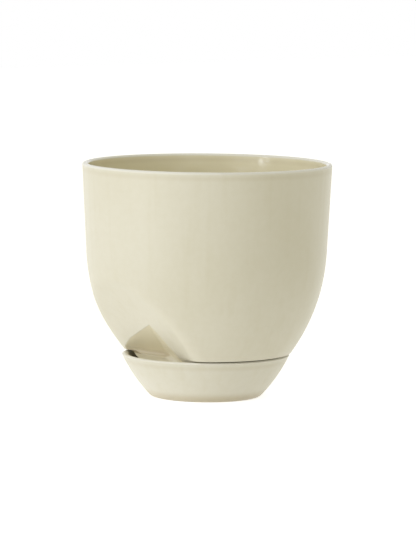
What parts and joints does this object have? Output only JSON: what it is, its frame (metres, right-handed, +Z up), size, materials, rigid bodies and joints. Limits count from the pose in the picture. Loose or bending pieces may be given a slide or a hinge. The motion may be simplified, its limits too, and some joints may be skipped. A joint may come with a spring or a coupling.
{
  "type": "plant pot with saucer",
  "caption": "Round-bellied glazed ceramic plant pot that nests in a matching saucer, with a faceted watering notch at its foot and a drain hole.",
  "frame": {"origin": "centre of the saucer's standing ring, on the surface it stands on", "axes": "+Z up along the common axis of pot and saucer, -Y towards the flat facet with the watering notch"},
  "size_m": [0.1998, 0.1998, 0.1875],
  "materials": {
    "cream_glaze": "satin cream glaze, slightly yellow where it pools"
  },
  "bodies": {
    "saucer": {"saucer": "cream_glaze"},
    "pot": {"pot": "cream_glaze"}
  },
  "joints": [
    {"name": "pot_lift", "type": "slide", "parent": "saucer", "child": "pot", "axis": [0, 0, 1], "range_m": [0, 0.05]}
  ]
}
